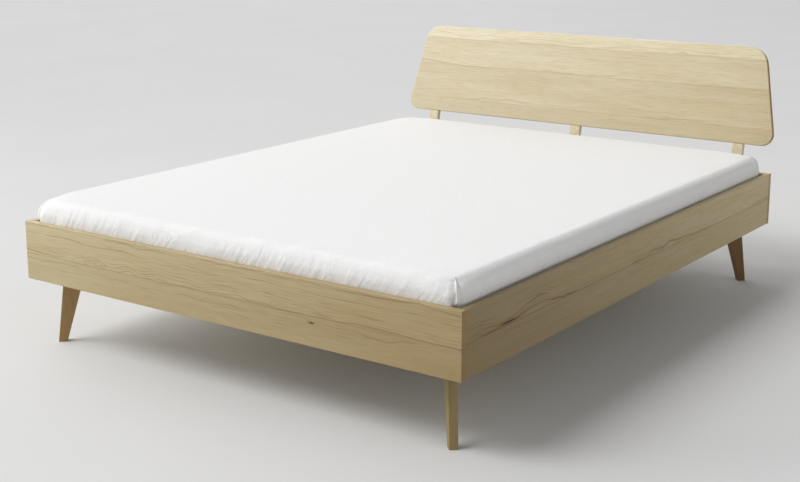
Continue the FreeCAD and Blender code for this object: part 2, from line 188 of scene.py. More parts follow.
def speckle(tree, place, scale, detail=2.0, roughness=0.5, distortion=0.0, dimensions="3D", output=0):
    """Noise in space."""
    links = {"Vector": place, "Scale": scale, "Detail": detail, "Roughness": roughness, "Distortion": distortion}
    return add(tree, "ShaderNodeTexNoise", links, noise_dimensions=dimensions).outputs[output]


def line_noise(tree, place, scale, detail=2.0):
    """Noise along a line."""
    links = {"W": place, "Scale": scale, "Detail": detail}
    return add(tree, "ShaderNodeTexNoise", links, noise_dimensions="1D").outputs[0]


def waves(tree, place, scale, direction, distortion=0.0):
    """Bands across a direction."""
    links = {"Vector": place, "Scale": scale, "Distortion": distortion, "Detail": 1.0, "Detail Scale": 3.0}
    return add(tree, "ShaderNodeTexWave", links, bands_direction=direction).outputs["Fac"]


def bump(tree, height, strength, distance, under=None):
    """The normal of a surface with relief, its depth in metres, over another relief or none."""
    links = {"Height": height, "Strength": strength, "Distance": distance}
    if under is not None:
        links["Normal"] = under
    return add(tree, "ShaderNodeBump", links).outputs[0]


def object_place(tree):
    return add(tree, "ShaderNodeTexCoord").outputs["Object"]


def surface_normal(tree):
    return add(tree, "ShaderNodeNewGeometry").outputs["Normal"]


def blank_material(name):
    """A new material with its shader, and the shader's node."""
    material = bpy.data.materials.new(name)
    material.use_nodes = True
    shader = material.node_tree.nodes["Principled BSDF"]
    return material, material.node_tree, shader


def wear(material, *nodes):
    """Puts a material on CAD nodes."""
    for node in nodes:
        slots = frame["nodes"][node].data.materials
        slots.clear()
        slots.append(material)


def middle_of(node):
    low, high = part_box(node)
    return (low + high) / 2


def staves(tree, v, glue_lines, tones):
    """How far each stave is shifted along and across the log, and its tone."""
    if not glue_lines:
        return 0.0, 0.0, 0.3
    width = 2 * glue_line_reach
    edges = (-glue_line_reach,) + glue_lines
    rows = zip(edges, stave_shifts, tones)
    stops = [((edge + glue_line_reach) / width, shift + (tone, 1.0)) for edge, shift, tone in rows]
    share = remap(tree, v, -glue_line_reach, glue_line_reach)
    stave = add(tree, "ShaderNodeSeparateColor", {0: ramp(tree, share, stops, "CONSTANT")}).outputs
    return sums(tree, "MULTIPLY", stave[0], 7.0), sums(tree, "MULTIPLY_ADD", stave[1], 0.20, -0.10), stave[2]


def push_aside(tree, u, v, radius, knots, drift, wild):
    """Knots push the rings aside and stir the lines near them. Returns the rings' radius, the lines' height,
    how wild they are, and the distance from the nearest knot that reaches the surface, if there is one."""
    eyes, aside = None, v
    for knot_u, knot_v, length, height, open_eye in knots:
        du = sums(tree, "DIVIDE", sums(tree, "SUBTRACT", u, knot_u + drift), length)
        dv = sums(tree, "DIVIDE", sums(tree, "SUBTRACT", v, knot_v), height)
        distance = hypotenuse(tree, du, dv)
        push = sums(tree, "EXPONENT", sums(tree, "MULTIPLY", distance, -0.7))
        radius = sums(tree, "MULTIPLY_ADD", push, -height * 1.6, radius)
        swirl = sums(tree, "SINE", sums(tree, "MULTIPLY", du, 1.8))
        aside = sums(tree, "MULTIPLY_ADD", sums(tree, "MULTIPLY", push, swirl), height, aside)
        wild = sums(tree, "MULTIPLY_ADD", push, 1.2, wild)
        if open_eye:
            eyes = distance if eyes is None else sums(tree, "MINIMUM", eyes, distance)
    return radius, aside, wild, eyes


def draw_glue_lines(tree, colour, far_u, v, aside, wild, glue_lines, depth, softness):
    """Each glue line is a hair-thin joint. Above it brown lines of late wood run along the board side by
    side, wander together, ripple near the knots, and stop where they meet the joint."""
    slow = sums(tree, "MULTIPLY_ADD", line_noise(tree, far_u, 2.2), 0.045, -0.0225)
    quick = sums(tree, "SUBTRACT", line_noise(tree, far_u, 13.0, 1.0), 0.5)
    gust = remap(tree, line_noise(tree, far_u, 1.7, 0.0), 0.42, 0.62, 0.003, 0.020)
    wander = sums(tree, "MULTIPLY_ADD", quick, gust, slow)
    for line in glue_lines:
        above = sums(tree, "SUBTRACT", v, line)
        joint = sums(tree, "MULTIPLY", sums(tree, "ABSOLUTE", above), 100.0)
        seam = ramp(tree, joint, ((0.02, (0.62, 0.54, 0.44, 1)), (0.10, (0.93, 0.90, 0.86, 1)), (0.30, white)))
        colour = blend(tree, depth, colour, seam, "MULTIPLY")
        upper = sums(tree, "GREATER_THAN", above, 0.0)
        for number, (offset, width, share) in enumerate(stroke_rows):
            curve = sums(tree, "MULTIPLY_ADD", wander, 1.0 + 0.12 * number, line + offset)
            away = sums(tree, "ABSOLUTE", sums(tree, "SUBTRACT", aside, curve))
            beside = sums(tree, "DIVIDE", away, width * softness)
            own = line_noise(tree, sums(tree, "ADD", far_u, 9.0 * number + 50 * line), 3.0)
            shown = remap(tree, own, 0.38, 0.60, 0.3 * share * depth, share * depth)
            if number:
                shown = sums(tree, "MULTIPLY", shown, sums(tree, "MINIMUM", wild, 1.0))
            stroke = ramp(tree, beside, ((0.10, (0.55, 0.42, 0.27, 1)), (1.0, white)))
            colour = blend(tree, sums(tree, "MULTIPLY", shown, upper), colour, stroke, "MULTIPLY")
    return colour


# Pine: planed and oiled to a soft satin. The eye sees pale straw-coloured wood with fine streaks along
# the board, a few thin brown lines of late wood that run in long shallow waves, and a dark line where
# two staves are glued together.
def pine(
    name,
    place,
    grain,
    face,
    glue_lines=(),
    knots=(),
    pith=(0.01, -0.09),
    stain="#ffffff",
    warmth=0.0,
    fade=(),
    drift=0.0,
    strokes=(1.0, 1.0, 0.6),
    busy=0.85,
    tones=(0.58, 0.34),
    end_share=0.62,
):
    """Pine whose grain runs along one direction and whose broad face looks along another. A knot is its
    place along and across the board, its length and height, and whether it is open. A fade darkens the
    board towards one end, and on the right rail it is painted shade; it is where it begins and ends along
    the board, and its colour. Strokes are the depth, the softness and the wildness of the lines above the
    glue lines, and the drift is how far along the log the board is cut."""
    sizes = bpy.context.scene.bed_pine
    material, tree, shader = blank_material(name)
    along = Vector(grain).normalized()
    out = (Vector(face) - along * along.dot(Vector(face))).normalized()
    turn = Matrix((along, out.cross(along), out))
    start = Vector((drift, 0, 0)) - turn @ Vector(place)
    settled = {"Vector": object_place(tree), "Location": start, "Rotation": turn.to_euler()}
    u, v, w = add(tree, "ShaderNodeSeparateXYZ", {0: add(tree, "ShaderNodeMapping", settled).outputs[0]}).outputs
    shift_u, shift_v, tone = staves(tree, v, glue_lines, tones)
    far_u = sums(tree, "ADD", u, shift_u)

    def drawn_out(share, across=v):
        """Places in the log, closer together along the grain, where noise comes out long."""
        return vector_of(tree, sums(tree, "MULTIPLY", far_u, share), across, w)

    # The trunk's own bends: slow waves along the grain
    slow = speckle(tree, drawn_out(0.11), 6.0, roughness=0.35, output="Color")
    bends = add(tree, "ShaderNodeSeparateColor", {0: slow}).outputs
    from_v = sums(tree, "ADD", sums(tree, "SUBTRACT", v, pith[0]), shift_v)
    rippled = sums(tree, "MULTIPLY_ADD", line_noise(tree, far_u, 4.5), 0.03, from_v)
    moved_v = sums(tree, "ADD", rippled, sums(tree, "MULTIPLY_ADD", bends[0], 0.05, -0.04))
    moved_w = sums(tree, "ADD", w, sums(tree, "MULTIPLY_ADD", bends[1], 0.06, -0.03 - pith[1]))
    radius = hypotenuse(tree, moved_v, moved_w)
    radius, aside, wild, eyes = push_aside(tree, u, v, radius, knots, drift, strokes[2])

    # Ring widths and the darkness of their late wood differ from year to year
    years = line_noise(tree, radius, 55.0, 1.0)
    ring = sums(tree, "MULTIPLY_ADD", years, 2.6, sums(tree, "DIVIDE", radius, sizes.ring_width / 1000))
    fine = drawn_out(0.02)
    fibre = speckle(tree, fine, 800.0, 3.0, 0.65)
    phase = sums(tree, "FRACT", sums(tree, "MULTIPLY_ADD", speckle(tree, fine, 160.0), 0.35, ring))
    late = ramp(tree, phase, greys((0.0, 0.0), (0.50, 0.08), (0.86, 1.0), (1.0, 0.02)))
    strength = line_noise(tree, sums(tree, "MULTIPLY", ring, 0.43), 1.0, 1.0)
    late = sums(tree, "MULTIPLY", late, remap(tree, strength, 0.42, 0.72, 0.28, 1.0))

    # The lines fade out and come back along the board
    broad_place = drawn_out(0.10, sums(tree, "ADD", v, shift_v))
    faint = remap(tree, speckle(tree, broad_place, 60.0), 0.38, 0.62, 0.2, 1.2)
    late = sums(tree, "MULTIPLY", late, faint)

    # Broad drifts between paler and redder wood, stave by stave and along the board
    stained = [
        [part * share for part, share in zip(opaque(wood), linear(stain))]
        for wood in (sizes.early_wood, sizes.warm_wood, sizes.late_wood)
    ]
    base = sums(tree, "MULTIPLY_ADD", tone, 0.9, warmth - 0.65)
    share = sums(tree, "MULTIPLY_ADD", speckle(tree, broad_place, 26.0, 4.0, 0.6), 1.5, base)
    early = blend(tree, share, stained[0], stained[1])
    contrast = busy * sizes.contrast
    figure = sums(tree, "MULTIPLY", late, sums(tree, "MULTIPLY_ADD", tone, -1.2 * contrast, 1.45 * contrast))
    colour = blend(tree, figure, early, stained[2])

    # Boards differ from end to end and stave from stave: the fade darkens a board towards one end, which on
    # the right rail is painted shade near the corner; redder staves are darker
    if fade:
        begin, end, tint = fade
        faded = remap(tree, sums(tree, "SUBTRACT", u, drift), begin, end)
        colour = blend(tree, 1.0, colour, blend(tree, faded, white, linear(tint)), "MULTIPLY")
    colour = dim(tree, colour, sums(tree, "MULTIPLY_ADD", tone, -0.3, 1.08))

    # Streaks of a few millimetres and single fibres, both long along the grain
    streak = speckle(tree, fine, 130.0, 4.0, 0.7)
    streaks = ramp(tree, streak, ((0.34, (0.84, 0.81, 0.76, 1)), (0.52, white), (0.68, (1.05, 1.05, 1.04, 1))))
    zone = sums(tree, "MULTIPLY_ADD", tone, -0.35, speckle(tree, broad_place, 34.0, 1.0))
    colour = blend(tree, remap(tree, zone, 0.28, 0.52, 0.15 * busy, busy), colour, streaks, "MULTIPLY")
    threads = ramp(tree, fibre, ((0.30, (0.86, 0.84, 0.80, 1)), (0.62, (1.03, 1.03, 1.03, 1))))
    colour = blend(tree, 0.8, colour, threads, "MULTIPLY")

    # Resin canals: short amber dashes, about half a millimetre wide, drawn a little coarser to show
    dashes = ramp(tree, speckle(tree, drawn_out(0.035), 420.0, 0.0), ((0.66, white), (0.74, (0.80, 0.70, 0.56, 1))))
    colour = blend(tree, 0.55, colour, dashes, "MULTIPLY")

    colour = draw_glue_lines(tree, colour, far_u, v, aside, wild, glue_lines, strokes[0], strokes[1])
    if eyes is not None:
        # The heart of an open knot is nearly black, with a brown rim
        heart, rim, halo = (0.09, 0.055, 0.03, 1), (0.52, 0.38, 0.22, 1), (0.94, 0.89, 0.78, 1)
        stops = ((0.15, heart), (0.22, rim), (0.38, halo), (0.7, white))
        colour = blend(tree, 1.0, colour, ramp(tree, sums(tree, "MULTIPLY", eyes, 0.25), stops), "MULTIPLY")

    # End grain drinks the oil, so it is darker and duller. On the headboard panel the ends are darkened
    # further, as painted shade on its shaded right edge
    end_grain = remap(tree, sums(tree, "ABSOLUTE", dot(tree, surface_normal(tree), along)), 0.6, 0.9)
    dark = blend(tree, sums(tree, "MULTIPLY", end_grain, end_share), white, opaque(sizes.end_tint))
    colour = blend(tree, 1.0, colour, dark, "MULTIPLY")

    # Late wood is harder and stands a hair proud after brushing; it is also glossier
    gloss = sums(tree, "MULTIPLY_ADD", late, -0.10, sums(tree, "MULTIPLY_ADD", fibre, 0.14, sizes.roughness))
    dull = sums(tree, "ADD", gloss, sums(tree, "MULTIPLY", end_grain, 0.12))
    relief = bump(tree, sums(tree, "MULTIPLY_ADD", late, 0.4, sums(tree, "MULTIPLY", fibre, 0.6)), 0.25, 0.0004)
    fill(tree, shader, {"Base Color": colour, "Roughness": dull, "Normal": relief, "IOR": 1.5})
    return material


def wear_pine(node, grain, face, name="", **look):
    """Gives a CAD node pine of its own."""
    wear(pine("pine_" + (name or node), middle_of(node), grain, face, **look), node)


def leg_grain(node):
    """The direction of a leg's grain, from its foot to its head, and of its broad face."""
    splay = 0.146
    middle = middle_of(node)
    side = math.copysign(1, middle.x)
    end = math.copysign(1, middle.y)
    return Vector((-side * splay, -end * splay, 1.0)), Vector((side, -end, 0))


# Webbing: polypropylene tape, woven in a twill, cream white, each thread about a millimetre
def webbing(name):
    material, tree, shader = blank_material(name)
    place = object_place(tree)
    weave = sums(tree, "MULTIPLY", waves(tree, place, 320.0, "DIAGONAL"), 0.6)
    mixed = sums(tree, "MULTIPLY_ADD", speckle(tree, place, 700.0), 0.4, weave)
    colour = ramp(tree, mixed, ((0.2, linear("#c9c5b8")), (0.8, linear("#eeeadf"))))
    fill(tree, shader, {"Base Color": colour, "Normal": bump(tree, mixed, 0.5, 0.0005), "Roughness": 0.75})
    return material


# Zinc-plated steel: cold-headed and plated, bluish silver with faint cloudy passivation
def zinc_steel(name):
    material, tree, shader = blank_material(name)
    place = object_place(tree)
    cloud = speckle(tree, place, 120.0, 4.0)
    colour = ramp(tree, cloud, ((0.30, linear("#aeb2b3")), (0.52, linear("#c5c8c6")), (0.72, linear("#cfccbd"))))
    dull = sums(tree, "MULTIPLY_ADD", cloud, 0.25, 0.22)
    relief = bump(tree, speckle(tree, place, 1800.0), 0.15, 0.0002)
    fill(tree, shader, {"Base Color": colour, "Roughness": dull, "Normal": relief, "Metallic": 1.0})
    return material


# Beech: dowels turned from it, pinkish tan, with short darker flecks along the grain
def beech(name):
    material, tree, shader = blank_material(name)
    stretched = add(tree, "ShaderNodeMapping", {"Vector": object_place(tree), "Scale": (1.0, 0.12, 1.0)}).outputs[0]
    fleck = speckle(tree, stretched, 900.0)
    colour = ramp(tree, fleck, ((0.35, linear("#b98f68")), (0.60, linear("#d3b08a"))))
    fill(tree, shader, {"Base Color": colour, "Normal": bump(tree, fleck, 0.2, 0.0002), "Roughness": 0.6})
    return material


# Cotton percale: a plain weave, bleached white, washed and lightly creased, with a soft sheen at
# grazing angles. Its threads lie 0.3 mm apart, which is too fine to show, so they are drawn 1.2 mm apart.
def percale(name, thread_spacing):
    material, tree, shader = blank_material(name)
    cloth = bpy.context.scene.bed_sheet
    place = object_place(tree)
    # At scale 1 a wave is pi / 10 metres long, and two threads share a wave
    turns = math.pi / 20 / (thread_spacing / 1000)
    warp, weft, rise = (waves(tree, place, turns, axis, 0.3) for axis in "XYZ")
    weave = sums(tree, "ADD", sums(tree, "ADD", warp, weft), rise)
    slub = speckle(tree, place, 260.0, 3.0, 0.6)
    tone = ramp(tree, slub, ((0.35, opaque(cloth.shade_colour)), (0.60, opaque(cloth.colour))))
    crease = speckle(tree, place, 9.0, 6.0, 0.62, 0.6)
    fold = sums(tree, "ABSOLUTE", sums(tree, "MULTIPLY_ADD", crease, 2.0, -1.0))
    creased = bump(tree, fold, 0.25, 0.004, bump(tree, weave, 0.10, 0.0002))

    # The elastic gathers the sides into fine slanting folds, which run out at the rim
    x, y, z = add(tree, "ShaderNodeSeparateXYZ", {0: place}).outputs
    quick = sums(tree, "ADD", sums(tree, "MULTIPLY", x, 0.85), sums(tree, "MULTIPLY_ADD", z, -0.5, y))
    slow = sums(tree, "MULTIPLY", sums(tree, "MULTIPLY_ADD", x, 0.5, z), 0.14)
    gathers = speckle(tree, vector_of(tree, quick, slow), 42.0, 2.0, 0.45, 0.3, "2D")
    ridges = ramp(tree, gathers, greys((0.42, 0.0), (0.62, 0.7), (0.70, 1.0), (0.76, 0.75)))
    upward = add(tree, "ShaderNodeSeparateXYZ", {0: surface_normal(tree)}).outputs[2]
    sideways = remap(tree, sums(tree, "ABSOLUTE", upward), 0.85, 0.2)
    folded = bump(tree, sums(tree, "MULTIPLY", ridges, sideways), 0.22, 0.005, creased)
    fill(tree, shader, {"Base Color": tone, "Normal": folded, "Roughness": 0.85, "Specular IOR Level": 0.25})
    fill(tree, shader, {"Sheen Weight": 0.15, "Sheen Roughness": 0.5})
    return material


# Mattress cover: a knitted ticking, off-white, with a small raised diamond knit 9 mm across
def ticking(name):
    material, tree, shader = blank_material(name)
    place = object_place(tree)
    turned = add(tree, "ShaderNodeMapping", {"Vector": place, "Rotation": (0, 0, math.radians(45))}).outputs[0]
    knit = sums(tree, "MULTIPLY", waves(tree, turned, 35.0, "X"), waves(tree, turned, 35.0, "Y"))
    height = sums(tree, "MULTIPLY_ADD", speckle(tree, place, 900.0), 0.3, sums(tree, "MULTIPLY", knit, 0.7))
    colour = ramp(tree, height, ((0.1, linear("#d9d8d2")), (0.6, linear("#efeeea"))))
    fill(tree, shader, {"Base Color": colour, "Normal": bump(tree, height, 0.5, 0.0015), "Roughness": 0.9})
    return material


# Painted studio floor: the camera sees it flat and pale, and it keeps the shadow. Its colour also
# holds painted shade, far behind on the right and in front of the side light
def studio_floor(name):
    material, tree, shader = blank_material(name)
    stage = bpy.context.scene.bed_stage
    place = object_place(tree)
    darker = opaque(c * 0.985 for c in stage.floor_colour)
    painted = ramp(tree, speckle(tree, place, 1.2, 3.0), ((0.4, darker), (0.6, opaque(stage.floor_colour))))

    # Painted shade: the floor's colour is a little darker far behind on the right, away from the light
    rightward = (0.813, 0.582, 0.0)
    painted = dim(tree, painted, remap(tree, dot(tree, place, rightward), 0.8, 4.2, 1.0, 0.93))

    # Painted shade in front of the side light, the darker the more light falls there from six parts of the
    # panel, keeps the floor from burning out. Softening keeps the nearest parts finite.
    softening, left_alone, painted_shade_strength = 0.05, 0.022, 9.3
    forward = Vector(side_light_aim).normalized()
    across = forward.cross(z_axis).normalized()
    upward = across.cross(forward)
    parts = [(column, row) for column in (-1 / 4, 1 / 4) for row in (-1 / 3, 0.0, 1 / 3)]
    lit = 0.0
    for column, row in parts:
        part = Vector(side_light_place) + side_light_size * (column * across + row * upward)
        from_light = add(tree, "ShaderNodeVectorMath", {0: place, 1: part}, operation="SUBTRACT").outputs[0]
        ahead = sums(tree, "ADD", dot(tree, from_light, forward), softening)
        spread = sums(tree, "POWER", sums(tree, "ADD", dot(tree, from_light, from_light), softening), 2.0)
        falling = sums(tree, "MULTIPLY", sums(tree, "MAXIMUM", ahead, 0.0), part.z / len(parts))
        lit = sums(tree, "ADD", sums(tree, "DIVIDE", falling, spread), lit)
    excess = sums(tree, "MAXIMUM", sums(tree, "SUBTRACT", lit, left_alone), 0.0)
    painted = dim(tree, painted, sums(tree, "DIVIDE", 1.0, sums(tree, "MULTIPLY_ADD", excess, painted_shade_strength, 1.0)))
    fill(tree, shader, {"Base Color": painted, "Roughness": 0.9, "Specular IOR Level": 0.1})
    return material


def colour_property(name, description, code):
    return FloatVectorProperty(name=name, description=description, subtype="COLOR", default=linear(code)[:3])


def number_property(name, description, default, **limits):
    return FloatProperty(name=name, description=description, default=default, **limits)


def length_property(name, description, default, low=0.0):
    return number_property(name, description, default, min=low, unit="LENGTH")


class BedPine(bpy.types.PropertyGroup):
    early_wood: colour_property("Early wood", "Pale wood between the year rings", "#ebe3c8")
    warm_wood: colour_property("Warm wood", "Redder wood of some staves", "#dfcea6")
    late_wood: colour_property("Late wood", "Brown lines of the year rings", "#a87c40")
    contrast: number_property("Figure contrast", "How far the late wood's lines show", 0.45, min=0.0, max=1.0)
    end_tint: colour_property("End grain tint", "What the end grain is multiplied by", "#c9b08a")
    ring_width: number_property("Ring width", "Usual width of a year ring in millimetres", 4.2, min=0.5)
    roughness: number_property("Roughness", "Of the oiled surface", 0.42, min=0.0, max=1.0)


class BedSheet(bpy.types.PropertyGroup):
    colour: colour_property("Cotton", "Bleached cotton in full light", "#efefef")
    shade_colour: colour_property("Cotton between threads", "Slightly darker cotton", "#e8e8e7")
    thread_spacing: number_property("Thread spacing", "As drawn, in millimetres", 1.2, min=0.2)
    wrinkle_height: length_property("Wrinkle height", "Height of the folds on the sides", 0.0015)
    seam_height: length_property("Corner seam", "How far the seam at each corner stands out", 0.0065)
    hem: length_property("Hem", "Width of the cloth under the mattress", 0.12, 0.02)
    belly: length_property("Belly", "How far the left side and the foot end bulge just above the boards", 0.004)
    head_slack: length_property("Head slack", "How far the soft end settles towards the head rail", 0.015)
    tuck: length_property("Tuck", "How far the right side draws in where it passes the board", 0.006)
    taper: length_property("Corner taper", "How far the top draws in at the corners", 0.016)


class BedStage(bpy.types.PropertyGroup):
    floor_colour: colour_property("Floor", "Pale studio floor", "#dadada")
    key_strength: number_property("Key light", "Soft light from the front left and above", 1.6)
    side_strength: number_property("Side light", "Large panel that stands at the front left, in watts", 82.0)
    key_softness: number_property("Key softness", "Angle across the key light", math.radians(31), unit="ROTATION")
    studio_strength: number_property("Studio light", "Share of the light from the studio's walls", 0.88)
    lens: number_property("Lens", "Focal length of the camera in millimetres", 61.67)


class BedBoards(bpy.types.Operator):
    """Gives the four boards of the frame and the headboard panel their staves, figure and knots"""

    bl_idname = "bed.finish_boards"
    bl_label = "Finish boards"

    def execute(self, context):
        front, right, left = (0, -1, 0), (1, 0, 0), (-1, 0, 0)
        tilt = math.radians(10)
        panel_face = (0, -math.cos(tilt), math.sin(tilt))
        stain = "#e0dac8"
        foot_knots = (
            (0.338, -0.0255, 0.009, 0.0022, True),
            (-0.47, 0.004, 0.060, 0.013, False),
            (-0.34, 0.004, 0.035, 0.009, False),
        )
        right_knots = (
            (-0.815, 0.0095, 0.044, 0.0030, True),
            (-0.90, 0.040, 0.10, 0.012, False),
            (-0.62, 0.055, 0.08, 0.012, False),
        )
        left_knots = ((0.42, 0.04, 0.010, 0.004, True),)
        panel_knots = ((0.24, 0.026, 0.045, 0.010, False),)
        wear_pine(
            "foot_board",
            x_axis,
            front,
            glue_lines=(-0.007,),
            knots=foot_knots,
            stain=stain,
            fade=(-0.7, 0.8, "#e0d6c8"),
            strokes=(0.75, 1.3, 0.6),
            busy=1.1,
        )
        wear_pine("head_board_rail", x_axis, front, "head_rail", glue_lines=board_glue_lines, stain=stain, drift=5.0)
        wear_pine(
            "side_rail_right",
            y_axis,
            right,
            "right_rail",
            glue_lines=board_glue_lines,
            knots=right_knots,
            stain=stain,
            warmth=0.15,
            # Painted shade: the fade darkens the rail towards its front end, near the corner, where less light falls
            fade=(0.9, -1.0, "#bcb2a2"),
            drift=2.5,
            strokes=(1.0, 2.2, 0.2),
            busy=0.7,
        )
        look = {"glue_lines": board_glue_lines, "knots": left_knots, "stain": stain, "drift": 11.0}
        wear_pine("side_rail_left", y_axis, left, "left_rail", **look)
        wear_pine(
            "headboard_panel",
            x_axis,
            panel_face,
            "panel",
            glue_lines=panel_glue_lines,
            knots=panel_knots,
            fade=(-0.7, 0.8, "#f6f2ea"),
            drift=3.0,
            warmth=-0.05,
            strokes=(0.35, 2.6, 0.0),
            busy=0.42,
            tones=(0.68, 0.58, 0.38, 0.04),
            # The panel's ends are darkened more than end grain alone: painted shade, for its shaded right edge
            end_share=1.0,
        )
        return {"FINISHED"}


class BedLegs(bpy.types.Operator):
    """Gives the legs, the headboard's posts and the middle foot pine that runs up their length"""

    bl_idname = "bed.finish_legs"
    bl_label = "Finish legs and posts"

    def execute(self, context):
        # The legs are darker and browner than the frame, each of its own colour: painted shade from under the
        # bed, darkest on the rear right leg, which stands in the bed's shadow
        leg_painted_shade = ("#c3a980", "#a99e79", "#bda37b", "#8a6e4a")
        for number, (corner, stain) in enumerate(zip(corners, leg_painted_shade)):
            node = "leg_" + corner
            wear_pine(node, *leg_grain(node), pith=(0.02, -0.05), stain=stain, warmth=0.2, drift=2.3 * number)
        for number, place in enumerate(("left", "centre", "right")):
            wear_pine("headboard_post_" + place, z_axis, (0, -1, 0), pith=(0.015, -0.06), drift=1.7 * number)
        wear_pine("centre_foot", z_axis, (0, -1, 0), pith=(0.03, -0.05), drift=9.0)
        return {"FINISHED"}


class BedBase(bpy.types.Operator):
    """Gives the slats, webbing, ledges, corner blocks and centre beam their materials"""

    bl_idname = "bed.finish_base"
    bl_label = "Finish slatted base"

    def execute(self, context):
        slats = sorted(node for node in frame["nodes"] if node.startswith("slat_") and "tape" not in node)
        # Four kinds of slat, each cut from another board
        kinds = 4
        for kind in range(kinds):
            own = slats[kind::kinds]
            look = {"pith": (0.02 * kind - 0.03, -0.05), "warmth": 0.1 * kind - 0.15, "drift": 4.1 * kind}
            wear(pine("pine_slat_%d" % kind, middle_of(own[0]), x_axis, z_axis, **look), *own)
        wear(webbing("polypropylene_webbing"), "slat_tape_left", "slat_tape_right")
        for side, outward in (("left", -1), ("right", 1)):
            wear_pine("ledge_" + side, y_axis, (outward, 0, 0), drift=6.0 * outward)
        wear_pine("centre_beam", y_axis, x_axis, "beam", pith=(0.03, -0.08), drift=7.7)
        for number, corner in enumerate(corners):
            wear_pine("corner_block_" + corner, z_axis, x_axis, pith=(0.05, -0.09), warmth=0.1, drift=3.1 * number)
        return {"FINISHED"}


class BedFasteners(bpy.types.Operator):
    """Gives the screws, bolts, inserts and shoes zinc-plated steel, and the dowels beech"""

    bl_idname = "bed.finish_fasteners"
    bl_label = "Finish fasteners"

    def execute(self, context):
        steel = zinc_steel("zinc_plated_steel")
        for item in frame["record"]["subparts"]:
            if item["material_slot"] == "zinc_steel":
                wear(steel, item["node"])
        wear(beech("beech_dowel"), "corner_dowels")
        return {"FINISHED"}


def pick(piece):
    """Selects one piece alone and makes it the active one."""
    bpy.ops.object.select_all(action="DESELECT")
    piece.select_set(True)
    bpy.context.view_layer.objects.active = piece


def pick_none(kind):
    """Leaves no edge or face of the active piece selected."""
    bpy.ops.object.mode_set(mode="EDIT")
    bpy.ops.mesh.select_mode(type=kind)
    bpy.ops.mesh.select_all(action="DESELECT")
    bpy.ops.object.mode_set(mode="OBJECT")


def gridded_box(name, low, high, cuts):
    """A cube at its size and place whose faces are cut into a grid, axis by axis."""
    bpy.ops.object.select_all(action="DESELECT")
    bpy.ops.mesh.primitive_cube_add(size=1.0, location=(low + high) / 2, scale=high - low)
    piece = bpy.context.object
    piece.name = name
    bpy.ops.object.transform_apply(location=True, rotation=True, scale=True)
    for axis in range(3):
        pick_none("EDGE")
        mesh = piece.data
        for edge in mesh.edges:
            first, second = (mesh.vertices[i].co for i in edge.vertices)
            edge.select = abs((second - first).normalized()[axis]) > 0.9
        bpy.ops.object.mode_set(mode="EDIT")
        bpy.ops.mesh.subdivide(number_cuts=cuts[axis])
        bpy.ops.object.mode_set(mode="OBJECT")
    return piece


def crowd_ends(value, half, reach, share):
    """Moves an even place on a line towards its ends, so that a share of all steps lies within a reach."""
    place = abs(value) / half
    inner = 1 - share
    if place < inner:
        moved = place / inner * (half - reach)
    else:
        moved = half - reach + (place - inner) / share * reach
    return math.copysign(moved, value)


def ease_box(piece, low, high, corner, rim, hem, crown, crowding, taper):
    """Turns a gridded box into a cushion: round corners in plan, a round rim and hem, a crowned top, and
    corners that draw in towards the top. Corner, rim and hem are radii, the crown is its height and how far
    in it rises, and crowding is how near the edge how many of the grid's steps lie. Returns each vertex's
    distance from the edge in plan and its depth below the top, both of the flat box."""
    middle = (low + high) / 2
    half = (high - low) / 2
    core_x, core_y = half.x - corner, half.y - corner
    places = []
    for vertex in piece.data.vertices:
        x, y, z = vertex.co - middle
        x = crowd_ends(x, half.x, *crowding)
        y = crowd_ends(y, half.y, *crowding)
        inset = min(half.x - abs(x), half.y - abs(y))
        depth = half.z - z
        inner = Vector((max(-core_x, min(core_x, x)), max(-core_y, min(core_y, y))))
        off = Vector((x, y)) - inner
        outward = off.normalized() if off.length > hair else Vector((0, 0))
        moved = inset
        height = z
        for radius, distance, sign in ((rim, depth, 1), (hem, 2 * half.z - depth, -1)):
            if inset < radius and distance < radius:
                run, rise = radius - inset, radius - distance
                scale = radius / math.hypot(run, rise)
                moved = radius - run * scale
                height = sign * (half.z - radius + rise * scale)
        if inset < corner:
            x, y = inner + outward * (corner - moved)
        if depth < hair or (depth < rim and inset < rim):
            share = max(0.0, min(1.0, (inset - rim) / crown[1]))
            height += crown[0] * (1 - (1 - share) ** 2)
        # The cover pulls the corners in, the more the nearer they are to the top
        near_x = max(0.0, 1 - (half.x - abs(x)) / taper_reach)
        near_y = max(0.0, 1 - (half.y - abs(y)) / taper_reach)
        pull = taper * (near_x * near_y) ** 2 * max(0.0, 1 - depth / taper_depth) ** 1.5
        places.append((inset, depth))
        vertex.co = middle + Vector((x - math.copysign(pull, x), y - math.copysign(pull, y), height - 0.6 * pull))
    piece.data.update()
    return places


def cloth_relax(piece, pinned):
    """Runs a short cloth simulation on a piece, caps how far each point moves, and keeps the result."""
    frames, cap = 12, 0.003
    group = piece.vertex_groups.new(name="held")
    group.add(pinned, 1.0, "REPLACE")
    before = [vertex.co.copy() for vertex in piece.data.vertices]
    cloth = piece.modifiers.new("Relax", "CLOTH")
    settings = cloth.settings
    settings.quality = 5
    settings.mass = 0.15
    for kind, stiffness in (("tension", 15), ("compression", 15), ("shear", 5), ("bending", 5)):
        setattr(settings, kind + "_stiffness", stiffness)
    settings.air_damping = 2.0
    settings.use_pressure = True
    settings.uniform_pressure_force = 2.0
    settings.effector_weights.gravity = 0.0
    settings.vertex_group_mass = group.name
    cloth.point_cache.frame_start = 1
    cloth.point_cache.frame_end = frames
    for step in range(1, frames + 1):
        bpy.context.scene.frame_set(step)
    pick(piece)
    bpy.ops.object.modifier_apply(modifier=cloth.name)
    bpy.context.scene.frame_set(1)
    piece.vertex_groups.clear()
    for vertex, start in zip(piece.data.vertices, before):
        move = vertex.co - start
        if move.length > cap:
            vertex.co = start + move * (cap / move.length)
    piece.data.update()


def wear_new(piece, material):
    """Gives a new piece its material and smooth shading."""
    piece.data.materials.clear()
    piece.data.materials.append(material)
    pick(piece)
    bpy.ops.object.shade_smooth()


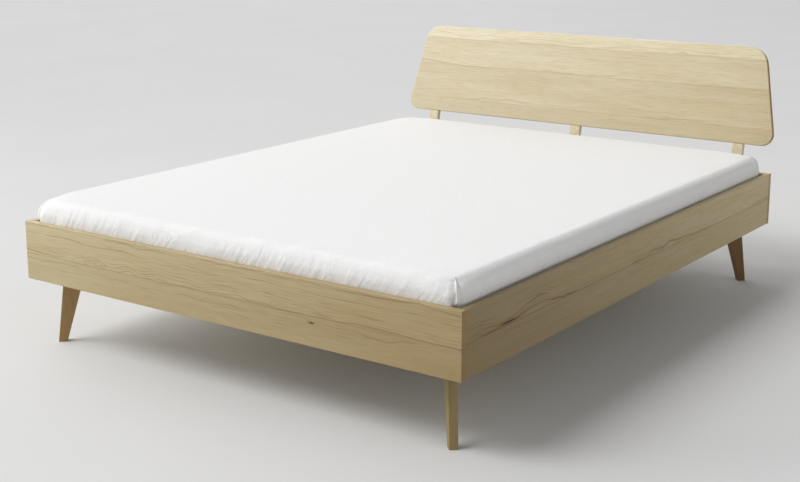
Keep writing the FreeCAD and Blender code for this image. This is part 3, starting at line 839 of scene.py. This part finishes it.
class BedMattress(bpy.types.Operator):
    """Makes the foam mattress in its knitted cover, which the fitted sheet hides from above"""

    bl_idname = "bed.make_mattress"
    bl_label = "Make mattress"

    def execute(self, context):
        cloth = context.scene.bed_sheet
        low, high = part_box("mattress")
        ease = Vector((0.010, 0.010, 0.002))
        low, high = low + ease, high - ease + Vector((0, cloth.head_slack, -0.006))
        thickness = high.z - low.z
        mattress = gridded_box("foam_mattress", low, high, (63, 79, 7))
        corner, rim, hem = 0.034, 0.026, 0.012
        places = ease_box(mattress, low, high, corner, rim, hem, (0.003, 0.52), (0.09, 0.12), cloth.taper)

        # Sewn channels across the underside, which only rise from the slats
        spacing, width, rise, margin = 0.25, 0.012, 0.004, 0.06
        for vertex, (inset, depth) in zip(mattress.data.vertices, places):
            if depth > thickness - hair and inset > margin:
                off = ((vertex.co.y / spacing + 0.5) % 1.0 - 0.5) * spacing
                vertex.co.z += rise * math.exp(-((off / width) ** 2)) * min(1.0, (inset - margin) / 0.05)
        cloth_relax(mattress, [i for i, (_, depth) in enumerate(places) if depth > thickness - 0.02])
        wear_new(mattress, ticking("knitted_ticking"))
        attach(mattress, "mattress_set")
        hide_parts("mattress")
        return {"FINISHED"}


def folds(chance, count, length, slant, kinds):
    """Random folds on one side of the sheet: place along it, depth, direction, half length, width, height
    and bow."""
    rows = []
    for reach, width, height, share in kinds:
        for _ in range(int(count * share)):
            angle = math.radians(chance.uniform(*slant))
            rows.append(
                (
                    chance.uniform(-length / 2, length / 2),
                    chance.uniform(-0.02, 0.075),
                    math.cos(angle),
                    math.sin(angle),
                    reach * chance.uniform(0.6, 1.3),
                    width * chance.uniform(0.7, 1.3),
                    height * chance.uniform(0.4, 1.0) * chance.choice((1, 1, -1)),
                    chance.uniform(-4.0, 4.0),
                )
            )
    return rows


def fold_heights(points, rows):
    """Adds up the folds at points that are rows of place along the side and depth below the rim."""
    order = sorted(range(len(points)), key=lambda i: points[i][0])
    keys = [points[i][0] for i in order]
    total = [0.0] * len(points)
    for along, depth, cos, sin, reach, width, height, bow in rows:
        span = reach + 3 * width
        for k in range(bisect.bisect_left(keys, along - span), bisect.bisect_right(keys, along + span)):
            i = order[k]
            ds = points[i][0] - along
            dt = points[i][1] - depth
            run = ds * cos + dt * sin
            if abs(run) < reach:
                off = (dt * cos - ds * sin - bow * run * run) / width
                if abs(off) < 3:
                    total[i] += height * math.exp(-off * off) * (1 - (run / reach) ** 2) ** 2
    return total


def seam_relief(x, y, inset, corner, seam_height):
    """A narrow ridge between two grooves where two sides of the sheet meet, which fades out on the top."""
    ridge_width, groove_depth, groove_place, groove_width = 0.004, 0.002, 0.010, 0.005
    arc = corner * (math.atan2(y, x) - math.pi / 4)
    ridge = seam_height * math.exp(-((arc / ridge_width) ** 2))
    groove = groove_depth * math.exp(-(((abs(arc) - groove_place) / groove_width) ** 2))
    return (ridge - groove) * max(0.0, 1 - inset / 0.05)


class BedFittedSheet(bpy.types.Operator):
    """Makes the elastic cotton sheet: taut on top, with fine folds on its sides and a seam at each corner"""

    bl_idname = "bed.make_sheet"
    bl_label = "Make fitted sheet"

    def execute(self, context):
        cloth = context.scene.bed_sheet
        low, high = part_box("fitted_sheet")
        high.y += cloth.head_slack
        crown = (0.004, 0.52)
        corner, rim, hem = 0.036, 0.028, 0.014
        top = high - Vector((0, 0, crown[0]))
        sheet = gridded_box("fitted_cotton_sheet", low, top, (161, 199, 33))
        places = ease_box(sheet, low, top, corner, rim, hem, crown, (0.075, 0.28), cloth.taper)
        self.crease(sheet, places, low, top, corner, cloth)

        # The elastic hem leaves the middle of the underside open
        pick_none("FACE")
        middle_y, half_y = (low.y + high.y) / 2, (high.y - low.y) / 2
        for face in sheet.data.polygons:
            inside = max(abs(face.center.x) - high.x, abs(face.center.y - middle_y) - half_y)
            face.select = face.center.z < low.z + 0.004 and inside < -cloth.hem
        bpy.ops.object.mode_set(mode="EDIT")
        bpy.ops.mesh.delete(type="FACE")
        bpy.ops.object.mode_set(mode="OBJECT")

        wear_new(sheet, percale("cotton_percale", cloth.thread_spacing))
        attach(sheet, "mattress_set")
        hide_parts("fitted_sheet")
        return {"FINISHED"}

    def crease(self, sheet, places, low, top, corner, cloth):
        """Puts folds on the sides, faint waves on sides and top, and a raised seam down each corner."""
        middle = (low + top) / 2
        half = (top - low) / 2
        underside = 2 * half.z - hair
        chance = random.Random(7)
        # Kinds of fold: half length, width, height and share. Sides: count of folds, length of the side,
        # slant of the folds in degrees and how high they stand.
        kinds = ((0.075, 0.014, 1.0, 0.25), (0.040, 0.007, 0.55, 0.75))
        sides = {
            "front": (190, 2 * half.x, (-75, -30), 1.0),
            "rear": (110, 2 * half.x, (-100, -60), 0.6),
            "left": (110, 2 * half.y, (-100, -60), 0.6),
            "right": (130, 2 * half.y, (-105, -75), 0.5),
        }
        members = {name: [] for name in sides}
        points = {name: [] for name in sides}
        vertices = sheet.data.vertices
        for index, (inset, depth) in enumerate(places):
            x, y, _ = vertices[index].co - middle
            if inset > 0.14 or depth > underside:
                continue
            across = half.x - abs(x) < half.y - abs(y)
            name = ("right" if x > 0 else "left") if across else ("rear" if y > 0 else "front")
            members[name].append(index)
            points[name].append((y if across else x, depth - inset))
        heights = {}
        for name, (count, length, slant, strength) in sides.items():
            rows = folds(chance, count, length, slant, kinds)
            for index, height in zip(members[name], fold_heights(points[name], rows)):
                heights[index] = height * strength * cloth.wrinkle_height

        # Depths below the rim: the boards begin at 71 mm, so the folds end a little above them, and the
        # belly lies higher still
        folds_end, tuck_start, belly_middle, belly_width = 0.066, 0.070, 0.042, 0.018
        normals = [vertex.normal.copy() for vertex in vertices]
        for index, (inset, depth) in enumerate(places):
            vertex = vertices[index]
            x, y, _ = vertex.co - middle
            height = heights.get(index, 0.0)
            if depth < underside:
                waves = noise.noise(vertex.co * 9.0) * 0.0012 + noise.noise(vertex.co * 23.0) * 0.0004
                height += waves * (1.0 if inset < 0.05 else 0.6)
                dx, dy = abs(x) - (half.x - corner), abs(y) - (half.y - corner)
                if dx > 0 and dy > 0:
                    height += seam_relief(dx, dy, inset, corner, cloth.seam_height)
            if depth > folds_end:
                height = min(height, 0.0014)
            if inset < 0.001 and half.x - x < 0.02:
                height -= cloth.tuck * max(0.0, min(1.0, (depth - tuck_start) / 0.004))
            elif inset < 0.001 and depth < folds_end and half.y - y > 0.02:
                height += cloth.belly * math.exp(-(((depth - belly_middle) / belly_width) ** 2))
            vertex.co += normals[index] * height
        sheet.data.update()


def studio_world(name, strength):
    """Bright walls and ceiling that light the bed, and plain grey where the camera sees past the floor."""
    world = bpy.data.worlds.new(name)
    world.use_nodes = True
    tree = world.node_tree
    tree.nodes.clear()
    way = add(tree, "ShaderNodeTexCoord").outputs["Generated"]
    level = 0.0
    for direction, narrowness, share in studio_walls:
        toward = dot(tree, way, Vector(direction).normalized())
        wall = sums(tree, "POWER", sums(tree, "MAXIMUM", toward, 0.0), narrowness)
        level = sums(tree, "MULTIPLY_ADD", wall, share * strength, level)
    light = add(tree, "ShaderNodeBackground", {"Color": white, "Strength": level}).outputs[0]
    seen = add(tree, "ShaderNodeBackground", {"Color": linear("#d8d8d8"), "Strength": 1.0}).outputs[0]
    path = add(tree, "ShaderNodeLightPath").outputs
    shown = sums(tree, "MAXIMUM", path["Is Camera Ray"], path["Is Transmission Ray"])
    mixed = add(tree, "ShaderNodeMixShader", {0: shown, 1: light, 2: seen}).outputs[0]
    add(tree, "ShaderNodeOutputWorld", {"Surface": mixed})
    return world


def facing(aim):
    """How a light is turned that shines along a direction."""
    return Vector(aim).to_track_quat("-Z", "Y").to_euler()


class BedStageUp(bpy.types.Operator):
    """Lays the floor, hangs the soft light and sets the camera at the photograph's angle"""

    bl_idname = "bed.build_stage"
    bl_label = "Build stage"

    def execute(self, context):
        stage = context.scene.bed_stage
        bpy.ops.object.select_all(action="DESELECT")
        bpy.ops.mesh.primitive_plane_add(size=40.0, location=(0, 0, -0.0005))
        floor = context.object
        floor.name = "studio_floor"
        floor.data.materials.append(studio_floor("studio_floor_paint_and_shade"))
        context.scene.world = studio_world("studio", stage.studio_strength)

        bpy.ops.object.light_add(type="SUN", location=(-2.2, -2.5, 4.0))
        key = context.object
        key.name = "key_light"
        key.data.energy = stage.key_strength
        key.data.angle = stage.key_softness
        key.rotation_euler = facing(key_light_aim)

        bpy.ops.object.light_add(type="AREA", location=side_light_place)
        side = context.object
        side.name = "side_light"
        side.data.shape = "SQUARE"
        side.data.size = side_light_size
        side.data.energy = stage.side_strength
        side.rotation_euler = facing(side_light_aim)

        bpy.ops.object.camera_add(location=camera_place)
        camera = context.object
        camera.name = "photograph_camera"
        camera.rotation_euler = (math.radians(90 - camera_pitch), 0, math.radians(camera_heading))
        camera.data.lens = stage.lens
        camera.data.sensor_width = 36.0
        camera.data.shift_y = -0.06
        context.scene.camera = camera
        context.scene.view_settings.view_transform = "Standard"
        return {"FINISHED"}


class BedPanel(bpy.types.Panel):
    """Lists the steps of dressing the bed"""

    bl_idname = "VIEW3D_PT_bed"
    bl_label = "Pine Bed"
    bl_space_type = "VIEW_3D"
    bl_region_type = "UI"
    bl_category = "Bed"

    def draw(self, context):
        layout = self.layout
        for group in (context.scene.bed_pine, context.scene.bed_sheet, context.scene.bed_stage):
            box = layout.box()
            for name in group.__annotations__:
                box.prop(group, name)
        for operator in operators:
            layout.operator(operator.bl_idname)


operators = (BedBoards, BedLegs, BedBase, BedFasteners, BedMattress, BedFittedSheet, BedStageUp)
groups = {"bed_pine": BedPine, "bed_sheet": BedSheet, "bed_stage": BedStage}


def register():
    for name, group in groups.items():
        bpy.utils.register_class(group)
        setattr(bpy.types.Scene, name, PointerProperty(type=group))
    for item in operators + (BedPanel,):
        bpy.utils.register_class(item)


def unregister():
    for item in reversed(operators + (BedPanel,)):
        bpy.utils.unregister_class(item)
    for name, group in groups.items():
        delattr(bpy.types.Scene, name)
        bpy.utils.unregister_class(group)


def main():
    register()
    bpy.ops.bed.finish_boards()
    bpy.ops.bed.finish_legs()
    bpy.ops.bed.finish_base()
    bpy.ops.bed.finish_fasteners()
    bpy.ops.bed.make_mattress()
    bpy.ops.bed.make_sheet()
    bpy.ops.bed.build_stage()


if __name__ == "__main__":
    main()
